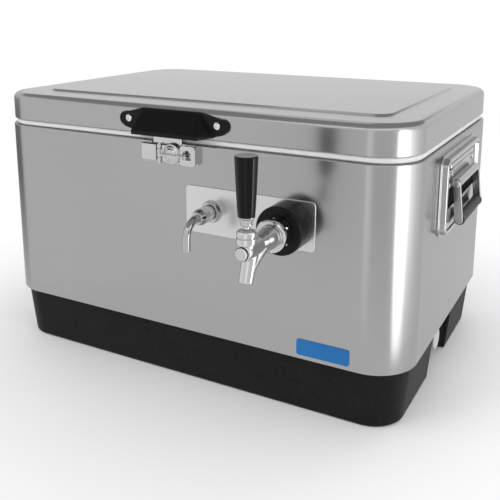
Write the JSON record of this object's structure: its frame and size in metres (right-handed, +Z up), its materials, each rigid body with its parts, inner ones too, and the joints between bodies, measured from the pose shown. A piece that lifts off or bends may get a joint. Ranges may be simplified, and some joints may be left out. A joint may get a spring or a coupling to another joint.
{
  "type": "jockey box beer cooler",
  "caption": "Insulated steel-belted cooler with a draught tap, beer inlet and cooling coil, hinged lid, swing latch, two carry handles and a drain.",
  "frame": {"origin": "centre of the underside of the base, on the surface that the cooler stands on", "axes": "+X along the box towards the end with the drain and the nearer tap, -Y out of the front with the tap and latch, +Z up"},
  "size_m": [0.648, 0.5381, 0.364],
  "materials": {
    "base_plastic": "fine moulded grain",
    "belt_steel": "brushed along the box",
    "lid_steel": "satin, brushed along the box",
    "plate_steel": "satin",
    "foam": "foamed in place",
    "white_plastic": "smooth",
    "drain_plastic": "smooth",
    "seal_rubber": "soft",
    "badge_blue": "plain, glossy",
    "satin_metal": "satin",
    "brass": "turned",
    "chrome": "polished",
    "black_gloss": "glossy",
    "black_plastic": "satin moulded",
    "coil_steel": "drawn tube",
    "hinge_steel": "satin",
    "latch_steel": "bright plated",
    "handle_steel": "satin plated",
    "screw_steel": "plated",
    "grip_rubber": "soft"
  },
  "bodies": {
    "cooler": {"base_tray": "base_plastic", "steel_belt": "belt_steel", "body_foam": "foam", "tub_liner": "white_plastic", "drain_body": "drain_plastic", "drain_gasket": "seal_rubber", "drain_nut": "drain_plastic", "faceplate": "plate_steel", "badge_plate": "badge_blue", "inlet_shank": "satin_metal", "inlet_hex_nut": "satin_metal", "inlet_fitting": "satin_metal", "inlet_elbow": "satin_metal", "inlet_lock_nut": "satin_metal", "inlet_tail_nut": "brass", "faucet_shank": "chrome", "shank_collar": "black_gloss", "shank_lock_nut": "satin_metal", "shank_tail_nut": "brass", "coupling_nut": "chrome", "faucet_body": "chrome", "faucet_front_cap": "chrome", "lever_bonnet": "chrome", "cooling_coil": "coil_steel", "body_hinge_leaf_left": "hinge_steel", "body_hinge_leaf_right": "hinge_steel", "hinge_pins": "hinge_steel", "body_hinge_screws": "screw_steel", "latch_plate": "latch_steel", "latch_rivets": "screw_steel", "latch_pin": "screw_steel", "handle_plate_left": "handle_steel", "handle_plate_right": "handle_steel", "handle_rivets": "screw_steel", "handle_barrel_left": "handle_steel", "handle_barrel_right": "handle_steel", "handle_pin_left": "screw_steel", "handle_pin_right": "screw_steel"},
    "lid": {"lid_hinge_leaf_left": "hinge_steel", "lid_hinge_leaf_right": "hinge_steel", "lid_hinge_screws": "screw_steel", "lid_skin": "lid_steel", "lid_liner": "white_plastic", "lid_foam": "foam", "lid_gasket": "seal_rubber", "lid_handle": "black_plastic", "lid_handle_screws": "screw_steel", "lid_strike": "latch_steel"},
    "latch": {"latch_lever": "latch_steel"},
    "tap_lever": {"faucet_lever": "chrome", "tap_ferrule": "chrome", "tap_handle": "black_gloss"},
    "tap_shaft": {"faucet_shaft": "satin_metal", "shaft_seal": "seal_rubber"},
    "carry_handle_left": {"bail_left": "handle_steel", "grip_left": "grip_rubber"},
    "carry_handle_right": {"bail_right": "handle_steel", "grip_right": "grip_rubber"},
    "drain_stopper": {"drain_cap": "drain_plastic"}
  },
  "joints": [
    {"name": "lid_hinge", "type": "hinge", "parent": "cooler", "child": "lid", "pos_m": [0, 0.2112, 0.3223], "axis": [-1, 0, 0], "range_deg": [0, 105]},
    {"name": "tap_lever_pivot", "type": "hinge", "parent": "cooler", "child": "tap_lever", "pos_m": [0.16, -0.3105, 0.255], "axis": [1, 0, 0], "range_deg": [0, 28.6]},
    {"name": "tap_shaft_slide", "type": "slide", "parent": "cooler", "child": "tap_shaft", "axis": [0, 1, 0], "range_m": [0, 0.0087]},
    {"name": "latch_pivot", "type": "hinge", "parent": "cooler", "child": "latch", "pos_m": [-0.017, -0.211, 0.3045], "axis": [0, 0, -1], "range_deg": [0, 100]},
    {"name": "carry_handle_left_pivot", "type": "hinge", "parent": "cooler", "child": "carry_handle_left", "pos_m": [-0.312, 0, 0.2695], "axis": [0, 1, 0], "range_deg": [0, 100]},
    {"name": "carry_handle_right_pivot", "type": "hinge", "parent": "cooler", "child": "carry_handle_right", "pos_m": [0.312, 0, 0.2695], "axis": [0, -1, 0], "range_deg": [0, 100]},
    {"name": "drain_cap_pull", "type": "slide", "parent": "cooler", "child": "drain_stopper", "axis": [1, 0, 0], "range_m": [0, 0.05]}
  ],
  "couplings": [
    {"joint": "tap_shaft_slide", "follows": "tap_lever_pivot", "m_per_rad": 0.017}
  ]
}
